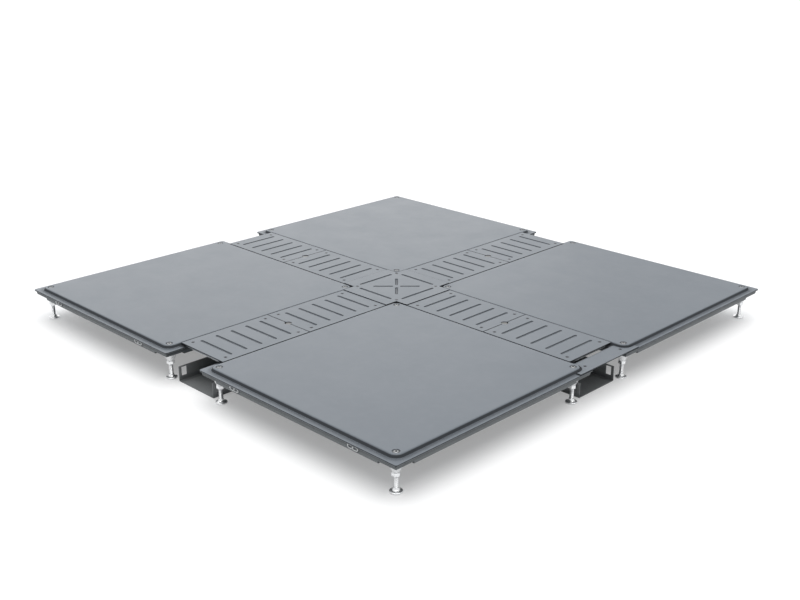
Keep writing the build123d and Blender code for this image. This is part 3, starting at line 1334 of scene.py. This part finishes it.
@dataclass
class BridgingStrip(ScrewedSheet):
    """The strip across the open trough end, notched round two deck corners."""

    work: str = "notched"
    edge: float = 0.45
    step_gap: float = 0.5
    thickness: float = 2.0
    screw_setback: float = 17.0
    screw_half: float = 55.0
    screw_length: float = 3.5

    def outline(self, inset: float) -> list[Point]:
        """Outline of the strip.

        Args:
            inset: Distance in from its edge.

        Returns:
            list[Point]: The outline.
        """
        lay = self.layout
        low, high = node_box("bridging_strip")
        notch_r = DECK_CORNER_R + STEP_RUN + self.step_gap
        wall = lay.outer_edge - LEDGE_WIDTH + self.step_gap
        half = lay.flange_edge + LEDGE_WIDTH - self.step_gap
        centre = (wall - notch_r, half + notch_r)
        start, end, tongue = low[0] + inset, high[0] - inset, high[1] - inset
        side = [(end, tongue), (wall + inset, tongue)]
        side += arc(centre, notch_r + inset, 0, -90, 12)
        side.append((start, half - inset))
        return side + [(x, -y) for x, y in reversed(side)]

    def build(self) -> None:
        """Build the strip and its two screws."""
        lay = self.layout
        top = lay.ledge_z + self.thickness
        places = [(lay.outer_edge - self.screw_setback, side * self.screw_half) for side in SIGNS]
        self.sheet("bridging_strip", self.outline, (top, lay.ledge_z), [], places)
        self.drive("strip_screw", self.screws.mesh(top, self.screw_length), places)


@dataclass
class CableTrays:
    """The four folded channels on the slab."""

    fold: float = 0.4

    def build(self) -> None:
        """Build the trays."""
        for arm in Arm:
            soften(f"cable_tray_{arm.label}", "folded", self.fold, TRAY_STEEL)


@dataclass
class FillerCaps:
    """Oval caps over the filling holes, on the walls that face -Y.

    The rim and the knob in its hollow are sections of inset and rise over the cap's face. The
    pan's lip_t and the gap lie between the flange and the cap.
    """

    layout: Layout
    length: float = 24.0
    height: float = 8.0
    depth: float = 1.6
    rim: Section = ((0.0, -0.5), (0.15, -0.15), (0.5, 0.0), (1.0, 0.0), (1.3, -0.3), (1.5, -1.35))
    knob_r: float = 1.6
    knob: Section = ((0.0, -1.35), (0.0, -0.4), (0.3, -0.1))
    offset: float = 150.0
    wall_inset: float = 3.0
    wall_draft: float = 2.0
    pan_depth: float = 20.0
    lip_t: float = 1.2
    gap: float = 0.4

    def cap(self) -> MeshMaker:
        """Build one cap, lying flat with its face up.

        Returns:
            MeshMaker: Its faces. Those at the bottom of the hollow take the second material, a dark enamel
                that paints the hollow's shade.
        """
        maker = MeshMaker()
        rim = [(0.0, 0.0), *at_level(self.rim, self.depth)]
        rings = maker.loft(slot_shape(self.length, self.height), rim)
        knob = maker.loft(circle(self.knob_r, 20), at_level(self.knob, self.depth))
        for face in maker.fill([rings[-1], knob[0]]):
            face.material_index = 1
        maker.cap(rings[0])
        maker.cap(knob[-1])
        return maker

    def build(self) -> None:
        """Build the eight caps."""
        lay = self.layout
        wall_height = lay.flange_z - (lay.deck_z - self.pan_depth)
        drop = self.lip_t + self.gap + self.height / 2
        wall = lay.half_panel - self.wall_inset - self.wall_draft * drop / wall_height
        out = Vector((0, -wall_height, -self.wall_draft)).normalized()
        up = out.cross(Vector((1, 0, 0)))
        lean = Matrix(((1, 0, 0), (0, up.y, out.y), (0, up.z, out.z))).to_4x4()
        for panel in Panel:
            x, y = lay.middle(panel)
            for number, side in enumerate(SIGNS, start=1):
                maker = self.cap()
                at = (x + side * self.offset, y - wall, lay.flange_z - drop)
                maker.mesh.transform(Matrix.Translation(at) @ lean)
                piece = maker.piece(f"filler_cap_{panel.label}_{number}")
                dress(piece, CAP_PLASTIC, "filler_caps")
                # Painted shade: the hollow's floor takes the pan's dark enamel.
                piece.data.materials.append(PAN_ENAMEL.material())


@dataclass
class Studio:
    """Pale floor, soft light and the camera.

    Attributes:
        floor_half: Half the floor's side, in metres.
        floor_drop: How far it lies under the slab's level, in millimetres.
        floor_dark: Share of its colour where its tone is lowest.
        floor_lift: Share of white over it where it is seen directly.
        key: Where the key light comes from, its strength, and the angle that it fills.
        rim: The same for the low light from behind.
        room_band: From away to towards the bright side, where the room's light grows.
        room_light: The least and the most of that light.
    """

    floor_half: float = 9.0
    floor_drop: float = 0.2
    floor_color: Triple = (0.93, 0.93, 0.93)
    floor_dark: float = 0.985
    floor_lift: float = 0.3
    camera_at: Triple = (1.5633, -1.5591, 0.8552)
    azimuth: float = 44.8857
    elevation: float = 20.2761
    lens: float = 49.34
    sensor: float = 36.0
    key: tuple[Triple, float, float] = ((0.08, -0.06, 1.0), 2.3, 66.0)
    rim: tuple[Triple, float, float] = ((-0.88, 0.52, 0.26), 0.3, 46.0)
    lamp_tint: Triple = (1.0, 0.99, 0.975)
    bright_side: Triple = (-0.66, 0.6, 0.3)
    room_band: Point = (-0.3, 0.8)
    room_light: Point = (0.22, 1.1)
    room_tint: tuple[float, float, float, float] = (0.93, 0.96, 1.0, 1.0)

    @staticmethod
    def seen_directly(wires: Wires) -> Socket:
        """One where the camera sees the surface, also in a reflection or through glass."""
        path = wires.add("ShaderNodeLightPath").outputs
        mirrored = wires.maths("MAXIMUM", path["Is Glossy Ray"], path["Is Transmission Ray"])
        return wires.maths("MAXIMUM", path["Is Camera Ray"], mirrored)

    def floor(self) -> None:
        """Lay the floor: pale, with some white over it where it is seen, so its shadows stay."""
        half = self.floor_half / MM
        maker = MeshMaker()
        corners = [(-half, -half), (half, -half), (half, half), (-half, half)]
        maker.cap(maker.ring(corners, -self.floor_drop))
        floor = maker.piece("studio_floor")
        material = bpy.data.materials.new("pale_floor")
        material.use_nodes = True
        wires = Wires(material.node_tree)
        tone = wires.spread(wires.noise(wires.place(), 3.0), Groups.CLOUD_BAND)
        low = (*(self.floor_dark * c for c in self.floor_color), 1.0)
        feeds = {
            "Roughness": 0.9,
            "Specular IOR Level": 0.1,
            "Base Color": wires.mix(tone, low, (*self.floor_color, 1.0)),
        }
        shader = wires.add("ShaderNodeBsdfPrincipled", feeds)
        white = wires.add("ShaderNodeEmission", {"Strength": 1.0})
        lift = wires.product(self.seen_directly(wires), self.floor_lift)
        wires.show(lift, shader, white, "ShaderNodeOutputMaterial")
        floor.data.materials.append(material)

    def world(self) -> None:
        """Light the room from one side, and show it as plain white where it is seen."""
        world = bpy.data.worlds.new("studio_world")
        bpy.context.scene.world = world
        world.use_nodes = True
        wires = Wires(world.node_tree)
        way = wires.add("ShaderNodeTexCoord").outputs["Generated"]
        feeds = {0: way, 1: Vector(self.bright_side).normalized()}
        toward = wires.add("ShaderNodeVectorMath", feeds, operation="DOT_PRODUCT").outputs["Value"]
        level = wires.spread(toward, self.room_band, self.room_light)
        room = wires.add("ShaderNodeBackground", {"Color": self.room_tint, "Strength": level})
        white = wires.add("ShaderNodeBackground", {"Color": WHITE, "Strength": 1.0})
        wires.show(self.seen_directly(wires), room, white, "ShaderNodeOutputWorld")

    def lamp(self, name: str, come_from: Triple, strength: float, softness: float) -> None:
        """Hang one broad lamp.

        Args:
            name: Name of the lamp.
            come_from: Direction that its light comes from.
            strength: Its strength.
            softness: Angle that it fills, in degrees.
        """
        data = bpy.data.lights.new(name, "SUN")
        data.energy = strength
        data.angle = math.radians(softness)
        data.color = self.lamp_tint
        placed(name, data).rotation_euler = Vector(come_from).to_track_quat("Z", "Y").to_euler()

    def camera(self) -> None:
        """Set the camera where the photograph was taken from."""
        data = bpy.data.cameras.new("camera")
        data.lens = self.lens
        data.sensor_width = self.sensor
        camera = placed("camera", data)
        az, el = math.radians(self.azimuth), math.radians(self.elevation)
        back = Vector((math.sin(az) * math.cos(el), -math.cos(az) * math.cos(el), math.sin(el)))
        camera.location = self.camera_at
        camera.rotation_euler = back.to_track_quat("Z", "Y").to_euler()
        bpy.context.scene.camera = camera

    def build(self) -> None:
        """Build the floor, the light and the camera."""
        bpy.context.scene.view_settings.view_transform = "Standard"
        self.floor()
        self.world()
        self.lamp("key_light", *self.key)
        self.lamp("rim_light", *self.rim)
        self.camera()


def main() -> None:
    """Build every sub-assembly, then the floor, the light and the camera."""
    logging.basicConfig(level=logging.INFO, format="%(message)s")
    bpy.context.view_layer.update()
    layout = Layout.from_frame()
    log.info("%s", layout)
    for panel in Panel:
        DeckPanel(layout, panel).build()
    Pedestal(layout).build()
    screws = SmallScrew()
    TroughCovers(layout, screws).build()
    CentrePlate(layout, screws).build()
    BridgingStrip(layout, screws).build()
    CableTrays().build()
    FillerCaps(layout).build()
    Studio().build()


if __name__ == "__main__":
    main()
